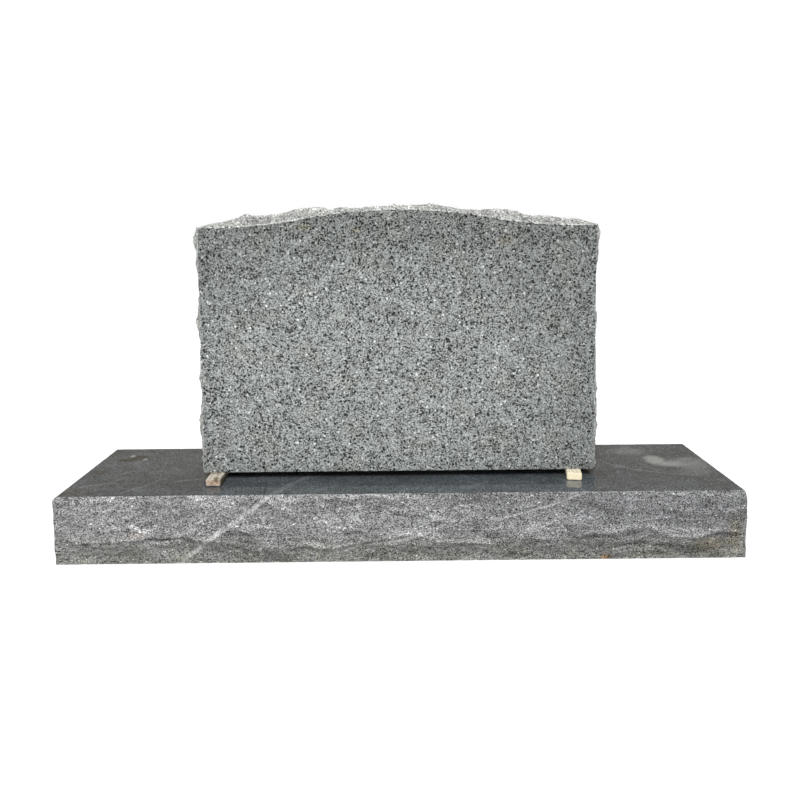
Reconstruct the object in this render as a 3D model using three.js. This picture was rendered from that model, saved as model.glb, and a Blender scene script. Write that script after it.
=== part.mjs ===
// A granite headstone: an upright stone with a serpentine top, set down on two softwood sticks on a long, low base.
// Both stones have rock-pitched edges, broken with a chisel from a straight line, and flat sawn or polished faces.
// Millimetres, +Z up, polished front towards -Y. The origin is the middle of the base's underside.
import * as THREE from "three";

// The base
const baseLength = 1524;
const baseDepth = 355.6;
const baseHeight = 152.4;
const baseFoot = 4.5; // how far the underside stands out past the top's edge
const baseCrest = 20; // the furthest that the broken sides stand out
const baseCornerCrest = 5; // the same at a corner
const baseCornerFlakes = 0.35; // how deep the flakes are at a corner, as a share of their depth elsewhere
const baseCornerEase = 95; // both grow from the corner's value to the full one over this length
const baseLip = 60; // height of the ridge that runs round the broken sides
const baseLipSwing = 18; // how far the ridge wanders up and down
const baseLipWave = 240; // length of one of its waves

// The height of that ridge along the front, in mm, against the place from the left end, -1, to the right end, 1
const frontLip = [
  [-1, 66], [-0.9, 56], [-0.62, 70], [-0.565, 63], [-0.485, 81], [-0.345, 55], [-0.215, 43], [0.05, 71],
  [0.1, 54], [0.195, 48], [0.495, 60], [0.555, 70], [0.7, 84], [0.79, 58], [0.83, 56], [0.95, 73], [1, 66],
];

// The upright stone
const stoneWidth = 914.4;
const stoneThickness = 152.4;
const stoneHeight = 609.6;
const stoneShift = -3.2; // of its middle from the base's middle
const crownRise = 38.1; // from the shoulders up to the middle of the top
const shoulderWidth = 37.2; // level length at each end of the crown
const archHalfWidth = 225; // where the crown's rounded arc turns into its hollow one
const cornerLift = 0.35; // how far a top corner's bulge turns upwards
const sideSteepness = 0.55; // how steeply the sides bulge next to the crown
const steepFrom = 0.8; // from this share of their height up, the sides grow as steep as the crown
const steepBy = 0.95;
const stoneRidge = 76; // from the back face to the ridge of the bulge
const stoneRidgeSwing = 20;
const stoneRidgeWave = 170;

// How far the crown stands out over its line, in mm, against its place from the left end, -1, to the right end, 1
const crownCrest = [
  [-1, 8], [-0.93, 16], [-0.78, 22], [-0.56, 25], [-0.39, 20], [-0.35, 13], [-0.3, 16], [-0.19, 7],
  [0, 10], [0.38, 11], [0.575, 22], [0.7, 19], [0.88, 16], [1, 8],
];
// The same for the two sides, against the height from the underside, 0, to the shoulder, 1
const sideCrest = [[0, 10], [0.22, 20], [0.4, 17], [0.75, 18], [0.92, 24], [1, 8]];

// The sticks under the upright stone
const stickWidth = 35;
const stickThickness = 17.5;
const stickLength = 230;
const stickCorner = 4; // radius of its long edges
const leftStickInset = 31; // from the stone's left end to the middle of the stick
const rightStickInset = 52;
const leftStickShows = 47; // how far it comes out in front of the stone
const rightStickShows = 27;
const rightStickTurn = 8.5; // degrees: its far end lies further to the right

const beddingGap = 0.3; // between two pieces that rest on each other
const facetLength = 16; // spacing of the facets on the broken edges
const flakeSpread = 0.5; // how unequal in depth the small flakes are
const flakeMiddle = 0.45; // their mean depth, which they are counted from
const crestRipple = 0.1; // how far the crest ripples, as a share of it
const cornerTurn = 45; // the broken edge turns to a corner's own direction over this length
const openCount = 1000; // more waves than any line has, where a pattern needn't close up
const rowEasing = 1.25; // above 1, the rows of facets draw together towards the two straight lines

// How the chisel broke each stone. A near scar runs from the top or front line to the ridge, a far one from the
// ridge to the opposite line.
const baseCut = {
  seed: 11,
  thickness: baseHeight,
  foot: baseFoot,
  near: { width: 175, low: 0.17, high: 0.27, reach: 100, power: 0.72, dish: 2.2, stray: 0.6, lean: 0.7 },
  far: { width: 120, low: 1, high: 1.25, power: 1.7, dish: 1.2, stray: 0.7, lean: 0.5 },
  edgeEase: 16,
  flakeSize: 62,
  flakeDepth: 9,
};
const stoneCut = {
  seed: 29,
  thickness: stoneThickness,
  foot: 0,
  near: { width: 105, low: 0.3, high: 0.5, reach: 50, power: 0.8, dish: 2.2, stray: 0.6, lean: 0.6 },
  far: { width: 120, low: 1, high: 1.3, power: 0.85, dish: 1.4, stray: 0.6, lean: 0.6 },
  edgeEase: 14,
  flakeSize: 48,
  flakeDepth: 8,
};

// A fixed number from 0 to 1 for a cell of a grid, the same on every run
function chance(i, j, seed) {
  let h = Math.imul(i, 374761393) ^ Math.imul(j, 668265263) ^ Math.imul(seed, 974634777);
  h = Math.imul(h ^ (h >>> 13), 1274126177);
  h = Math.imul(h ^ (h >>> 16), 2246822519);
  return ((h ^ (h >>> 15)) >>> 0) / 4294967296;
}

function mix(a, b, share) {
  return a + (b - a) * share;
}

function smooth(share) {
  const t = Math.min(1, Math.max(0, share));
  return t * t * (3 - 2 * t);
}

function wrap(cell, count) {
  return ((cell % count) + count) % count;
}

// Soft ripples from -1 to 1, one to a cell, that close up after count cells
function ripple(x, y, count, seed) {
  const i = Math.floor(x);
  const j = Math.floor(y);
  const u = smooth(x - i);
  const v = smooth(y - j);
  const at = (di, dj) => chance(wrap(i + di, count), j + dj, seed);
  return 2 * mix(mix(at(0, 0), at(1, 0), u), mix(at(0, 1), at(1, 1), u), v) - 1;
}

// Small dished flakes, one to a cell: 0 in the bottom of the deepest, up to about 1 on the ridges between them
function flakes(x, y, count, seed) {
  let least = Infinity;
  for (let i = Math.floor(x) - 1; i <= Math.floor(x) + 1; i++) {
    for (let j = Math.floor(y) - 1; j <= Math.floor(y) + 1; j++) {
      const cell = wrap(i, count);
      const dx = x - i - chance(cell, j, seed);
      const dy = y - j - chance(cell, j, seed + 1);
      least = Math.min(least, flakeSpread * chance(cell, j, seed + 2) + dx * dx + dy * dy);
    }
  }
  return least;
}

// The row of scars along one line, side by side, each dished, with a ridge between two: how steep the break is
function scars(along, inward, scar, around, seed) {
  const count = Math.round(around / scar.width);
  const width = around / count;
  const place = along / width;
  let least = Infinity;
  for (let k = Math.floor(place) - 1; k <= Math.floor(place) + 1; k++) {
    const cell = wrap(k, count);
    const middle = k + 0.5 + scar.stray * (chance(cell, 0, seed) - 0.5);
    const slope = mix(scar.low, scar.high, chance(cell, 1, seed));
    const lean = scar.lean * (chance(cell, 2, seed) - 0.5);
    const aside = place - middle - (lean * inward) / width;
    least = Math.min(least, slope * (1 + scar.dish * aside * aside));
  }
  return least;
}

// The break from the top or front line inwards: it stands out more and more, up to the crest
function nearBreak(point, across, cut, around) {
  const { near, seed } = cut;
  const slope = point.steep * scars(point.along, across, near, around, seed);
  const count = Math.round(around / cut.flakeSize);
  const wave = ripple((point.along / around) * count, across / cut.flakeSize, count, seed + 20);
  const broken = slope * near.reach * Math.pow(across / near.reach, near.power);
  return Math.min(broken, point.crest * (1 + crestRipple * wave));
}

// How far the broken edge stands out, at a place along it and a distance across it
function bulge(point, across, cut, around) {
  const { far, seed } = cut;
  const inside = cut.thickness - across;
  const atRidge = nearBreak(point, cut.thickness - point.ridge, cut, around);
  const foot = Math.min(cut.foot, atRidge);
  const fall = Math.pow(inside / point.ridge, far.power) * scars(point.along, inside, far, around, seed + 10);
  const broken = Math.min(nearBreak(point, across, cut, around), foot + (atRidge - foot) * fall);
  const count = Math.round(around / cut.flakeSize);
  const flake = flakes((point.along / around) * count, across / cut.flakeSize, count, seed + 30);
  const ease = smooth(across / cut.edgeEase) * smooth(inside / cut.edgeEase);
  return broken + ease * point.flaked * cut.flakeDepth * (flake - flakeMiddle);
}

// A straight run of points from one corner up to, but not including, the next. The edge breaks outwards along out,
// and turns to outFrom and outTo at the two corners.
function run({ from, to, out, outFrom, outTo }, give) {
  const length = Math.hypot(to[0] - from[0], to[1] - from[1]);
  const steps = Math.round(length / facetLength);
  return Array.from({ length: steps }, (_, n) => {
    const share = n / steps;
    const gone = share * length;
    const fromShare = Math.max(0, 1 - gone / cornerTurn);
    const toShare = Math.max(0, 1 - (length - gone) / cornerTurn);
    const [outX, outY] = [0, 1].map((axis) => {
      const turned = mix(out[axis], outFrom[axis], fromShare);
      return mix(turned, outTo[axis], toShare);
    });
    const [x, y] = [0, 1].map((axis) => mix(from[axis], to[axis], share));
    return { x, y, outX, outY, ...give(share, gone, length) };
  });
}

// Adds to each point how far along the loop it is, and returns the loop's length
function measure(loop) {
  let along = 0;
  loop.forEach((point, n) => {
    point.along = along;
    const next = loop[(n + 1) % loop.length];
    along += Math.hypot(next.x - point.x, next.y - point.y);
  });
  return along;
}

// The base's outline from above, counter-clockwise from the front left corner
function baseLoop() {
  const x = baseLength / 2;
  const y = baseDepth / 2;
  const corners = [[-x, -y], [x, -y], [x, y], [-x, y]];
  const outward = [[0, -1], [1, 0], [0, 1], [-1, 0]];
  return corners.flatMap((from, side) => {
    const to = corners[(side + 1) % 4];
    const edge = { from, to, out: outward[side], outFrom: from.map(Math.sign), outTo: to.map(Math.sign) };
    return run(edge, (share, gone, length) => {
      const clear = smooth(Math.min(gone, length - gone) / baseCornerEase);
      const wandering = baseLip + wander(gone, baseLipSwing, baseLipWave, side);
      return {
        crest: mix(baseCornerCrest, baseCrest, clear),
        flaked: mix(baseCornerFlakes, 1, clear),
        steep: 1,
        ridge: mix(baseLip, side === 0 ? read(frontLip, 2 * share - 1) : wandering, clear),
      };
    });
  });
}

// How far a ridge strays to one side of its mean line
function wander(along, swing, wave, seed) {
  return swing * ripple(along / wave, 0, openCount, seed);
}

// A value read off a short table of [place, value] pairs
function read(table, place) {
  const n = Math.max(1, table.findIndex((row) => row[0] >= place));
  const [a, b] = [table[n - 1], table[n]];
  return mix(a[1], b[1], smooth((place - a[0]) / (b[0] - a[0])));
}

// The crown's height over the stone's underside: a rounded arc, a hollow arc on each side, and level shoulders
function crownHeight(x) {
  const curved = stoneWidth / 2 - shoulderWidth;
  const turn = 2 * Math.atan(crownRise / curved);
  const roundRadius = archHalfWidth / Math.sin(turn);
  const hollowRadius = (curved - archHalfWidth) / Math.sin(turn);
  const aside = Math.abs(x);
  if (aside < archHalfWidth) return stoneHeight - roundRadius + Math.sqrt(roundRadius ** 2 - aside ** 2);
  const left = Math.max(0, curved - aside);
  return stoneHeight - crownRise + hollowRadius - Math.sqrt(hollowRadius ** 2 - left ** 2);
}

// The upright stone's outline from the front, counter-clockwise from the bottom left corner
function stoneLoop() {
  const x = stoneWidth / 2;
  const shoulder = stoneHeight - crownRise;
  const side = (share) => ({
    crest: read(sideCrest, share),
    steep: mix(sideSteepness, 1, smooth((share - steepFrom) / (steepBy - steepFrom))),
  });
  const overTop = (share) => ({ crest: read(crownCrest, 1 - 2 * share), steep: 1 });
  const [left, right, up] = [[-1, 0], [1, 0], [0, 1]];
  const [leftCorner, rightCorner] = [[-1, cornerLift], [1, cornerLift]];
  const bottomLeft = { x: -x, y: 0, outX: left[0], outY: left[1], ...side(0) };
  const rightEdge = { from: [x, 0], to: [x, shoulder], out: right, outFrom: right, outTo: rightCorner };
  const topEdge = { from: [x, 0], to: [-x, 0], out: up, outFrom: rightCorner, outTo: leftCorner };
  const leftEdge = { from: [-x, shoulder], to: [-x, 0], out: left, outFrom: leftCorner, outTo: left };
  const crown = run(topEdge, overTop);
  crown.forEach((point) => (point.y = crownHeight(point.x)));
  const loop = [bottomLeft, ...run(rightEdge, side), ...crown, ...run(leftEdge, (share) => side(1 - share))];
  measure(loop);
  for (const point of loop) {
    point.ridge = stoneRidge + wander(point.along, stoneRidgeSwing, stoneRidgeWave, stoneCut.seed);
    point.flaked = 1;
  }
  return loop;
}

// How far across the broken edge a row of facets runs: closer together at both lines, with one row on the ridge
function rowPlace(row, rows, nearRows, thickness, ridge) {
  if (row <= nearRows) return (thickness - ridge) * Math.pow(row / nearRows, rowEasing);
  return thickness - ridge * Math.pow((rows - row) / (rows - nearRows), rowEasing);
}

// A block with two flat faces, at z = 0 and a thickness below, and a broken edge between them along the loop
function pitchedBlock(loop, cut) {
  const around = measure(loop);
  const count = loop.length;
  const rows = Math.round(cut.thickness / facetLength);
  const middleRidge = loop.reduce((sum, point) => sum + point.ridge, 0) / count;
  const nearRows = Math.round(rows * (1 - middleRidge / cut.thickness));
  const positions = [];
  const reaches = [];
  for (let row = 0; row <= rows; row++) {
    for (const point of loop) {
      const across = rowPlace(row, rows, nearRows, cut.thickness, point.ridge);
      const reach = bulge(point, across, cut, around);
      reaches.push(reach);
      positions.push(point.x + point.outX * reach, point.y + point.outY * reach, -across);
    }
  }
  const triangles = [];
  for (let row = 0; row < rows; row++) {
    for (let n = 0; n < count; n++) {
      const a = row * count + n;
      const b = row * count + ((n + 1) % count);
      const [c, d] = [a + count, b + count];
      // the facets fold along the ridge, which stands out further than the hollow
      const ridge = reaches[a] + reaches[d] > reaches[b] + reaches[c];
      triangles.push(...(ridge ? [a, c, d, a, d, b] : [a, c, b, b, c, d]));
    }
  }
  // each flat face is a fan about its middle
  const middleY = loop.reduce((sum, point) => sum + point.y, 0) / count;
  const faceMiddle = positions.length / 3;
  positions.push(0, middleY, 0, 0, middleY, -cut.thickness);
  for (let n = 0; n < count; n++) {
    const next = (n + 1) % count;
    triangles.push(faceMiddle, n, next, faceMiddle + 1, rows * count + next, rows * count + n);
  }
  const geometry = new THREE.BufferGeometry();
  geometry.setAttribute("position", new THREE.Float32BufferAttribute(positions, 3));
  geometry.setIndex(triangles);
  geometry.computeVertexNormals();
  return geometry;
}

function baseMesh() {
  const material = new THREE.MeshStandardMaterial({ color: 0x6e6f6d, roughness: 0.55, metalness: 0 });
  const mesh = new THREE.Mesh(pitchedBlock(baseLoop(), baseCut), material);
  mesh.name = "base";
  mesh.position.z = baseHeight;
  return mesh;
}

function stoneMesh() {
  const material = new THREE.MeshStandardMaterial({ color: 0x8b8f8c, roughness: 0.4, metalness: 0 });
  const mesh = new THREE.Mesh(pitchedBlock(stoneLoop(), stoneCut), material);
  mesh.name = "upright_stone";
  mesh.rotation.x = Math.PI / 2;
  mesh.position.set(stoneShift, -stoneThickness / 2, baseHeight + stickThickness + 2 * beddingGap);
  return mesh;
}

// A stick's section, standing on y = 0, with its four long edges rounded
function stickSection() {
  const [x, y, r] = [stickWidth / 2, stickThickness, stickCorner];
  const section = new THREE.Shape();
  section.moveTo(-x + r, 0);
  section.lineTo(x - r, 0);
  section.absarc(x - r, r, r, -Math.PI / 2, 0);
  section.lineTo(x, y - r);
  section.absarc(x - r, y - r, r, 0, Math.PI / 2);
  section.lineTo(-x + r, y);
  section.absarc(-x + r, y - r, r, Math.PI / 2, Math.PI);
  section.lineTo(-x, r);
  section.absarc(-x + r, r, r, Math.PI, 1.5 * Math.PI);
  return section;
}

// x is the middle of the front end, about which the stick is turned
function stickMesh(name, color, x, shows, degrees) {
  const material = new THREE.MeshStandardMaterial({ color, roughness: 0.8, metalness: 0 });
  const geometry = new THREE.ExtrudeGeometry(stickSection(), {
    depth: stickLength,
    bevelEnabled: false,
    curveSegments: 4,
  });
  const mesh = new THREE.Mesh(geometry, material);
  mesh.name = name;
  const turn = THREE.MathUtils.degToRad(degrees);
  mesh.rotation.set(Math.PI / 2, -turn, 0);
  mesh.position.set(x, -stoneThickness / 2 - shows, baseHeight + beddingGap);
  mesh.position.x += stickLength * Math.sin(turn);
  mesh.position.y += stickLength * Math.cos(turn);
  return mesh;
}

const leftStick = stoneShift - stoneWidth / 2 + leftStickInset;
const rightStick = stoneShift + stoneWidth / 2 - rightStickInset;
const headstone = new THREE.Group();
headstone.add(
  baseMesh(),
  stickMesh("stick_left", 0xb0a696, leftStick, leftStickShows, 0),
  stickMesh("stick_right", 0xf1e4c4, rightStick, rightStickShows, rightStickTurn),
  stoneMesh(),
);

export default headstone;
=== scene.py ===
# A granite headstone: an upright stone with a serpentine top, on two softwood sticks, on a long, low base.
# The dictionaries hold millimetres. Blender has metres, +Z up, and the polished front faces -Y.
import math

import bpy
import numpy as np
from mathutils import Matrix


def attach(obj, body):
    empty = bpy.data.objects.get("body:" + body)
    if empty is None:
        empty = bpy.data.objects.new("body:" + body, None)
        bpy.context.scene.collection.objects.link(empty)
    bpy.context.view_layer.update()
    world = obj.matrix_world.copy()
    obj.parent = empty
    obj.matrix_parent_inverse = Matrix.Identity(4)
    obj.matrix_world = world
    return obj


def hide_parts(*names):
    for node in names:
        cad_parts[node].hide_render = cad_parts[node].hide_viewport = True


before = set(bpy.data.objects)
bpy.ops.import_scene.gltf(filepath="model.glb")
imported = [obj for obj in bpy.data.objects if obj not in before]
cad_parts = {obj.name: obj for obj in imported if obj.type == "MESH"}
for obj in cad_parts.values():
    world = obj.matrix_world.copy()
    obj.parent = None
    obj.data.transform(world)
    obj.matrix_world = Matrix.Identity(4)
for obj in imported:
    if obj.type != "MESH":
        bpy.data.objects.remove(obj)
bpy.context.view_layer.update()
scene = bpy.context.scene
mm = 0.001


view = {
    "place": (-1.99, -1758.46, 729.35),
    "turn": (85.505, 0.477, -0.341),  # degrees about x, y and z
    "lens": 33.2025,
    "sensor": 36.0,
    "shift": (-0.006524, -0.135277),
}

studio = {
    "skyTop": (0.42, 0.435, 0.45),
    "skySide": (0.37, 0.37, 0.37),
    "mirroredTop": (0.9, 0.93, 0.97),  # what the polished faces mirror, which is darker low down
    "mirroredSide": (0.23, 0.19, 0.13),
    # turn leans a lamp, in degrees about x, y and z: the sun stands in front of the stone, and a weak fill
    # behind it, which the polished faces don't mirror
    "sun": {"turn": (46, 0, -5), "spread": 26, "strength": 3.0, "mirrored": True},
    "fill": {"turn": (-52, 0, 8), "spread": 80, "strength": 0.8, "mirrored": False},
    "floorSeen": 0.6,
    "floorGlow": 0.5,  # keeps the floor near white in the shade
    "floorBounce": 0.62,  # what the floor throws back at the stones
    "floorSize": 60000,
}


def makeCamera():
    data = bpy.data.cameras.new("camera")
    data.lens = view["lens"]
    data.sensor_width = view["sensor"]
    data.shift_x, data.shift_y = view["shift"]
    camera = bpy.data.objects.new("camera", data)
    camera.location = [n * mm for n in view["place"]]
    camera.rotation_euler = [math.radians(n) for n in view["turn"]]
    scene.collection.objects.link(camera)
    scene.camera = camera


def makeFloor():
    half = studio["floorSize"] * mm / 2
    mesh = bpy.data.meshes.new("floor")
    corners = [(-half, -half, 0), (half, -half, 0), (half, half, 0), (-half, half, 0)]
    mesh.from_pydata(corners, [], [(0, 1, 2, 3)])
    floor = bpy.data.objects.new("floor", mesh)
    floor.location.z = -0.0003
    scene.collection.objects.link(floor)
    material, tree = newMaterial("pale_floor")
    shader = tree.nodes["Principled BSDF"]
    seen = addNode(tree, "LightPath").outputs["Is Camera Ray"]
    plug(tree, product(tree, seen, studio["floorGlow"]), shader.inputs["Emission Color"])
    shader.inputs["Emission Strength"].default_value = 1.0
    shader.inputs["Specular IOR Level"].default_value = 0.0
    grey = remap(tree, seen, 0, 1, studio["floorBounce"], studio["floorSeen"])
    mesh.materials.append(dress(material, grey, 1.0))


def makeLamp(name, one):
    lamp = bpy.data.lights.new(name, "SUN")
    lamp.energy = one["strength"]
    lamp.angle = math.radians(one["spread"])
    holder = bpy.data.objects.new(name, lamp)
    holder.rotation_euler = [math.radians(n) for n in one["turn"]]
    holder.visible_glossy = one["mirrored"]
    scene.collection.objects.link(holder)


def makeLight():
    world = bpy.data.worlds.new("studio")
    world.use_nodes = True
    scene.world = world
    tree = world.node_tree
    tree.nodes.clear()
    direction = addNode(tree, "TexCoord").outputs["Generated"]
    height = vector(tree, "DOT_PRODUCT", direction, (0, 0, 1))
    rays = addNode(tree, "LightPath").outputs
    sky = mixColor(tree, remap(tree, height, 0.0, 0.9), (*studio["skySide"], 1), (*studio["skyTop"], 1))
    low, high = [(*studio[name], 1) for name in ("mirroredSide", "mirroredTop")]
    mirrored = mixColor(tree, remap(tree, height, 0.25, 0.95), low, high)
    sky = mixColor(tree, rays["Is Glossy Ray"], sky, mirrored)
    sky = mixColor(tree, rays["Is Camera Ray"], sky, (1, 1, 1, 1))
    dome = addNode(tree, "Background", {"Color": sky, "Strength": 1.0})
    addNode(tree, "OutputWorld", {"Surface": dome.outputs[0]})
    for name in ("sun", "fill"):
        makeLamp(name, studio[name])
    scene.view_settings.view_transform = "Standard"


def plug(tree, value, socket):
    if isinstance(value, bpy.types.NodeSocket):
        tree.links.new(value, socket)
    else:
        socket.default_value = value


def addNode(tree, kind, given=None, **settings):
    node = tree.nodes.new("ShaderNode" + kind)
    for name, value in settings.items():
        setattr(node, name, value)
    for name, value in (given or {}).items():
        plug(tree, value, node.inputs[name])
    return node


def calc(tree, operation, a, b=0.0):
    return addNode(tree, "Math", {0: a, 1: b}, operation=operation).outputs[0]


def total(tree, first, *rest):
    for value in rest:
        first = calc(tree, "ADD", first, value)
    return first


def product(tree, first, *rest):
    for value in rest:
        first = calc(tree, "MULTIPLY", first, value)
    return first


def vector(tree, operation, a, b=(0, 0, 0), scale=None):
    given = {0: a, 1: b}
    if scale is not None:
        given = {0: a, "Scale": scale}
    node = addNode(tree, "VectorMath", given, operation=operation)
    return node.outputs["Value" if operation in ("LENGTH", "DOT_PRODUCT") else "Vector"]


def remap(tree, value, low, high, toLow=0.0, toHigh=1.0):
    given = {"Value": value, "From Min": low, "From Max": high, "To Min": toLow, "To Max": toHigh}
    return addNode(tree, "MapRange", given, interpolation_type="SMOOTHSTEP").outputs[0]


def mixColor(tree, share, a, b, blend="MIX"):
    return addNode(tree, "Mix", {0: share, 6: a, 7: b}, data_type="RGBA", blend_type=blend).outputs[2]


def noise(tree, point, size, detail=2.0, roughness=0.5, output="Fac"):
    # size is the length of a wave in millimetres
    given = {"Vector": point, "Scale": 1000 / size, "Detail": detail, "Roughness": roughness}
    return addNode(tree, "TexNoise", given).outputs[output]


def newGroup(name, given, made):
    tree = bpy.data.node_groups.new(name, "ShaderNodeTree")
    for side, kinds in (("INPUT", given), ("OUTPUT", made)):
        for kind, sockets in kinds.items():
            for socket in sockets:
                tree.interface.new_socket(name=socket, in_out=side, socket_type="NodeSocket" + kind)
    return tree, tree.nodes.new("NodeGroupInput").outputs, tree.nodes.new("NodeGroupOutput").inputs


def placeGroup(tree, name, given):
    node = tree.nodes.new("ShaderNodeGroup")
    node.node_tree = bpy.data.node_groups[name]
    for socket, value in given.items():
        plug(tree, value, node.inputs[socket])
    return node.outputs


def newMaterial(name):
    material = bpy.data.materials.new(name)
    material.use_nodes = True
    return material, material.node_tree


def dress(material, color, roughness, height=None, bump=None):
    tree = material.node_tree
    shader = tree.nodes["Principled BSDF"]
    plug(tree, color, shader.inputs["Base Color"])
    plug(tree, roughness, shader.inputs["Roughness"])
    if bump:
        given = {"Height": height, "Distance": bump[0] * mm, "Strength": bump[1]}
        plug(tree, addNode(tree, "Bump", given).outputs["Normal"], shader.inputs["Normal"])
    return material


def spotOf(tree):
    return addNode(tree, "TexCoord").outputs["Object"]


def buildGranite():
    # a ground of fine crystals, with flecks of dark mica and of white feldspar that gather in patches
    given = {"Vector": ["Point"], "Float": ["Crystal", "Fleck", "Dark share", "Light share", "Patchiness"],
             "Color": ["Dark", "Low", "High", "Light"]}
    tree, ins, outs = newGroup("granite", given, {"Color": ["Color"], "Float": ["Grain", "Dark"]})
    fleckReach = 0.68  # of the largest fleck, in cells
    unequal = 0.35  # how much less than that the smallest reaches

    def cells(size, warping, stray):
        # a random colour for each crystal, and how far a point is from the middle of its own
        point = vector(tree, "SCALE", ins["Point"], scale=calc(tree, "DIVIDE", 1000.0, size))
        warp = addNode(tree, "TexNoise", {"Vector": point, "Scale": warping, "Detail": 1.0}).outputs["Color"]
        warp = vector(tree, "SUBTRACT", warp, (0.5, 0.5, 0.5))
        point = vector(tree, "ADD", point, vector(tree, "SCALE", warp, scale=stray))
        cell = addNode(tree, "TexVoronoi", {"Vector": point, "Scale": 1.0}).outputs
        return addNode(tree, "SeparateColor", {"Color": cell["Color"]}).outputs, cell["Distance"]

    patch = calc(tree, "SUBTRACT", noise(tree, ins["Point"], 35, 3.0, 0.6), 0.5)
    patch = product(tree, patch, ins["Patchiness"])
    ground, groundFar = cells(ins["Crystal"], 0.7, 0.6)
    tone = calc(tree, "SUBTRACT", ground["Red"], patch)
    color = mixColor(tree, remap(tree, tone, 0.15, 0.85), ins["Low"], ins["High"])
    flecks, far = cells(ins["Fleck"], 1.1, 0.8)
    near = calc(tree, "SUBTRACT", fleckReach, far)
    size = product(tree, flecks["Blue"], unequal)
    spread = remap(tree, calc(tree, "SUBTRACT", near, size), -0.02, 0.1)
    # the feldspar keeps off the patches that the mica gathers in
    for channel, share, gather, shade in (("Red", "Light share", -0.3, "Light"),
                                          ("Green", "Dark share", 0.6, "Dark")):
        chosen = total(tree, ins[share], product(tree, patch, gather))
        chosen = remap(tree, calc(tree, "SUBTRACT", chosen, flecks[channel]), -0.01, 0.01)
        mask = product(tree, chosen, spread)
        color = mixColor(tree, mask, color, ins[shade])
    plug(tree, color, outs["Color"])
    plug(tree, mask, outs["Dark"])
    plug(tree, total(tree, product(tree, ground["Blue"], 0.7), groundFar), outs["Grain"])


def buildVein():
    # a thin sheet through the stone, which shows as a line wherever it comes out
    given = {"Vector": ["Point", "Middle", "Normal"], "Float": ["Reach", "Thickness", "Wander"]}
    tree, ins, outs = newGroup("vein", given, {"Float": ["Mask"]})
    wave = vector(tree, "SUBTRACT", noise(tree, ins["Point"], 90, 4.0, 0.6, "Color"), (0.5, 0.5, 0.5))
    spot = vector(tree, "ADD", ins["Point"], vector(tree, "SCALE", wave, scale=ins["Wander"]))
    spot = vector(tree, "SUBTRACT", spot, ins["Middle"])
    off = calc(tree, "ABSOLUTE", vector(tree, "DOT_PRODUCT", spot, ins["Normal"]))
    line = remap(tree, calc(tree, "DIVIDE", off, ins["Thickness"]), 0.2, 1.0, 1.0, 0.0)
    far = remap(tree, calc(tree, "DIVIDE", vector(tree, "LENGTH", spot), ins["Reach"]), 0.6, 1.0, 1.0, 0.0)
    broken = remap(tree, noise(tree, ins["Point"], 4.5, 3.0, 0.65), 0.42, 0.6, 0.2, 1.0)
    speckled = remap(tree, noise(tree, ins["Point"], 2.6, 2.0), 0.38, 0.62, 0.4, 1.0)
    plug(tree, product(tree, line, far, broken, speckled), outs["Mask"])


def buildBedding():
    # faint wavy streaks that lie nearly level, between -1 and 1
    given = {"Vector": ["Point"], "Float": ["Long", "High"]}
    tree, ins, outs = newGroup("bedding", given, {"Float": ["Streak"]})
    sway = 0.09  # metres
    spot = addNode(tree, "SeparateXYZ", {"Vector": ins["Point"]}).outputs
    slow = calc(tree, "SUBTRACT", noise(tree, ins["Point"], 160, 2.0), 0.5)
    high = total(tree, spot["Z"], product(tree, slow, sway))
    level, upright = [calc(tree, "DIVIDE", 1000.0, ins[name]) for name in ("Long", "High")]
    parts = {name: product(tree, spot[name], level) for name in ("X", "Y")}
    parts["Z"] = product(tree, high, upright)
    place = addNode(tree, "CombineXYZ", parts).outputs[0]
    plug(tree, remap(tree, noise(tree, place, 1000, 3.0, 0.6), 0.25, 0.75, -1.0, 1.0), outs["Streak"])


def buildBlot():
    # a ragged blot, for stains, bruises, clouds of paler stone and painted patches of light and shade
    given = {"Vector": ["Point", "Middle", "Across"], "Float": ["Ragged"]}
    tree, ins, outs = newGroup("blot", given, {"Float": ["Mask"]})
    spot = vector(tree, "DIVIDE", vector(tree, "SUBTRACT", ins["Point"], ins["Middle"]), ins["Across"])
    rough = calc(tree, "SUBTRACT", noise(tree, ins["Point"], 16, 4.0, 0.65), 0.5)
    rough = product(tree, rough, ins["Ragged"])
    far = total(tree, vector(tree, "LENGTH", spot), rough)
    plug(tree, remap(tree, far, 0.35, 1.0, 1.0, 0.0), outs["Mask"])


def buildWood():
    # softwood along y: bands of early and late wood, and fine fibres
    given = {"Vector": ["Point"], "Float": ["Ring"], "Color": ["Fresh", "Late"]}
    tree, ins, outs = newGroup("softwood", given, {"Color": ["Color"], "Float": ["Height"]})
    ringsFace = (0.45, 0, 0.9)  # the rings lie slanting across the stick
    bands, fibres = [vector(tree, "MULTIPLY", ins["Point"], (1, drawnOut, 1)) for drawnOut in (0.06, 0.04)]
    across = calc(tree, "DIVIDE", vector(tree, "DOT_PRODUCT", ins["Point"], ringsFace), ins["Ring"])
    turns = total(tree, across, product(tree, noise(tree, bands, 30, 2.0), 3.0))
    late = remap(tree, calc(tree, "FRACT", turns), 0.45, 0.95)
    fibre = noise(tree, fibres, 1.1, 2.0)
    share = product(tree, late, remap(tree, fibre, 0.2, 0.8, 0.5, 1.0))
    plug(tree, mixColor(tree, share, ins["Fresh"], ins["Late"]), outs["Color"])
    plug(tree, total(tree, product(tree, late, 0.5), fibre), outs["Height"])


# The chisel broke the edges in the same pattern as in the solids. Each function takes and gives whole arrays.

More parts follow.
